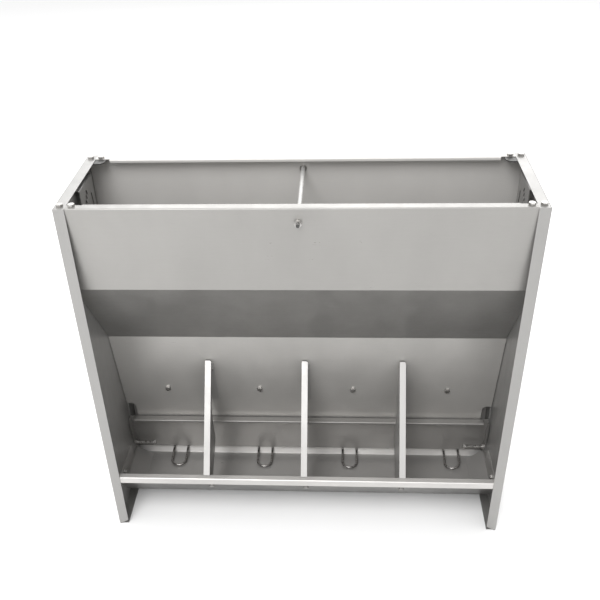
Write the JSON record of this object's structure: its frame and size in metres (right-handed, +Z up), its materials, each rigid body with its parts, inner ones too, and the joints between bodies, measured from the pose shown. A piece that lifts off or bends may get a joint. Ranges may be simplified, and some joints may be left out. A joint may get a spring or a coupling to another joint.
{
  "type": "trough feeder",
  "caption": "Single-sided sheet-steel hopper feeder for small livestock, with a divided trough, a sliding feed gate and swinging wire agitators.",
  "frame": {"origin": "on the ground, at the centre of the feeder's footprint", "axes": "+X along the trough, +Y to the closed back (the trough opens to -Y), +Z up"},
  "size_m": [1.019, 0.3092, 0.9253],
  "materials": {
    "sheet_steel": "fine brushed stainless sheet",
    "side_steel": "fine brushed stainless sheet",
    "trough_steel": "dull stainless sheet",
    "bracket_steel": "dark, heat-stained steel plate",
    "wire_steel": "drawn stainless bar",
    "fastener_steel": "stainless hexagon fasteners"
  },
  "bodies": {
    "feeder": {"side_panel_left": "side_steel", "side_panel_right": "side_steel", "hopper_front": "sheet_steel", "back_panel": "sheet_steel", "trough_pan": "trough_steel", "trough_end_left": "trough_steel", "trough_end_right": "trough_steel", "trough_end_bolts": "fastener_steel", "trough_end_nuts": "fastener_steel", "trough_back_bolts": "fastener_steel", "trough_back_nuts": "fastener_steel", "guide_studs": "fastener_steel", "guide_washers": "fastener_steel", "guide_nuts": "fastener_steel", "divider_left": "side_steel", "divider_middle": "side_steel", "divider_right": "side_steel", "divider_top_bolts": "fastener_steel", "divider_top_nuts": "fastener_steel", "divider_foot_bolts": "fastener_steel", "divider_foot_nuts": "fastener_steel", "agitator_bolts": "fastener_steel", "agitator_washers": "fastener_steel", "agitator_nuts": "fastener_steel", "tie_rod": "fastener_steel", "tie_rod_nuts": "fastener_steel", "tie_rod_washers": "fastener_steel", "corner_bracket_front_left": "bracket_steel", "corner_bracket_front_right": "bracket_steel", "corner_bracket_back_left": "bracket_steel", "corner_bracket_back_right": "bracket_steel", "corner_bolts": "fastener_steel", "corner_nuts": "fastener_steel"},
    "gate": {"feed_gate": "sheet_steel", "gate_arm_left": "side_steel", "gate_arm_right": "side_steel", "gate_arm_bolts": "fastener_steel", "gate_arm_nuts": "fastener_steel"},
    "agitator_1": {"agitator_1": "wire_steel"},
    "agitator_2": {"agitator_2": "wire_steel"},
    "agitator_3": {"agitator_3": "wire_steel"},
    "agitator_4": {"agitator_4": "wire_steel"}
  },
  "joints": [
    {"name": "gate_slide", "type": "slide", "parent": "feeder", "child": "gate", "axis": [0, -0.1788, 0.9839], "range_m": [-0.001, 0.024]},
    {"name": "agitator_1_swing", "type": "hinge", "parent": "feeder", "child": "agitator_1", "pos_m": [-0.372, 0.07961, 0.29407], "axis": [0, -0.9839, -0.1788], "range_deg": [-9, 9]},
    {"name": "agitator_2_swing", "type": "hinge", "parent": "feeder", "child": "agitator_2", "pos_m": [-0.124, 0.07961, 0.29407], "axis": [0, -0.9839, -0.1788], "range_deg": [-9, 9]},
    {"name": "agitator_3_swing", "type": "hinge", "parent": "feeder", "child": "agitator_3", "pos_m": [0.124, 0.07961, 0.29407], "axis": [0, -0.9839, -0.1788], "range_deg": [-8, 10]},
    {"name": "agitator_4_swing", "type": "hinge", "parent": "feeder", "child": "agitator_4", "pos_m": [0.372, 0.07961, 0.29407], "axis": [0, -0.9839, -0.1788], "range_deg": [-17, 1]}
  ]
}
